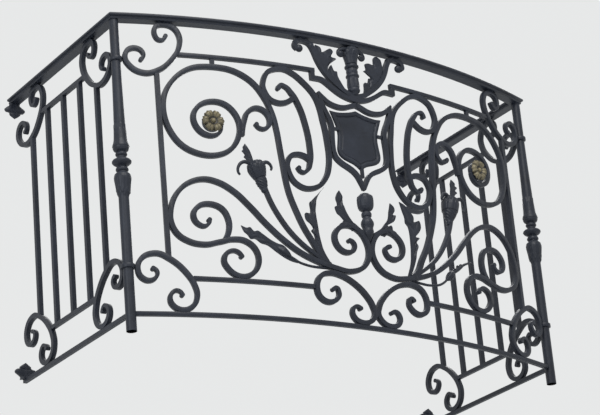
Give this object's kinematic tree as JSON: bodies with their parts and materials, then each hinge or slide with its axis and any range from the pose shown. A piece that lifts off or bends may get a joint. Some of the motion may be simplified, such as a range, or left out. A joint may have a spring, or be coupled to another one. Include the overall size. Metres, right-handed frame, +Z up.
{
  "type": "iron balcony railing",
  "caption": "Bow-fronted wrought iron balcony railing with moulded handrail, turned corner posts, scrollwork around a blank shield and two straight returns to the wall",
  "frame": {"origin": "centre of the left corner post's foot, on the slab", "axes": "+X along the wall from the left post to the right one, +Y into the wall, +Z up; the bowed front faces -Y"},
  "size_m": [1.598, 0.8112, 1],
  "materials": {
    "iron": "satin dark blue-grey paint on forged and cast iron, slightly weathered",
    "gilt": "dulled gilding on cast rosettes"
  },
  "bodies": {
    "root": {"basket_leaves": "iron", "basket_ring": "iron", "bottom_rail_front": "iron", "bottom_rail_left": "iron", "bottom_rail_right": "iron", "bud_stem_left": "iron", "bud_stem_right": "iron", "buds": "iron", "corner_post_left": "iron", "corner_post_right": "iron", "corner_scrolls_left": "iron", "corner_scrolls_right": "iron", "cradle_bar": "iron", "end_bars_front": "iron", "finial": "iron", "handrail_front": "iron", "handrail_left": "iron", "handrail_right": "iron", "heart_leaves": "iron", "heart_scroll_left": "iron", "heart_scroll_right": "iron", "lower_c_scroll_left": "iron", "lower_c_scroll_right": "iron", "lower_volute_left": "iron", "lower_volute_right": "iron", "middle_rail_left": "iron", "middle_rail_right": "iron", "middle_rails_front": "iron", "return_bars_left": "iron", "return_bars_right": "iron", "return_scrolls_left": "iron", "return_scrolls_right": "iron", "rosettes": "gilt", "shield_collars": "iron", "shield_frame": "iron", "shield_plate": "iron", "stem_leaves": "iron", "sub_rail_left": "iron", "sub_rail_right": "iron", "sub_rails_front": "iron", "tall_scroll_inner_left": "iron", "tall_scroll_inner_right": "iron", "tall_scroll_left": "iron", "tall_scroll_right": "iron", "tendril_left": "iron", "tendril_right": "iron", "torch": "iron", "upper_volute_left": "iron", "upper_volute_right": "iron", "volute_branches_left": "iron", "volute_branches_right": "iron", "volute_collars": "iron", "wall_brackets_left": "iron", "wall_brackets_right": "iron"}
  },
  "joints": []
}
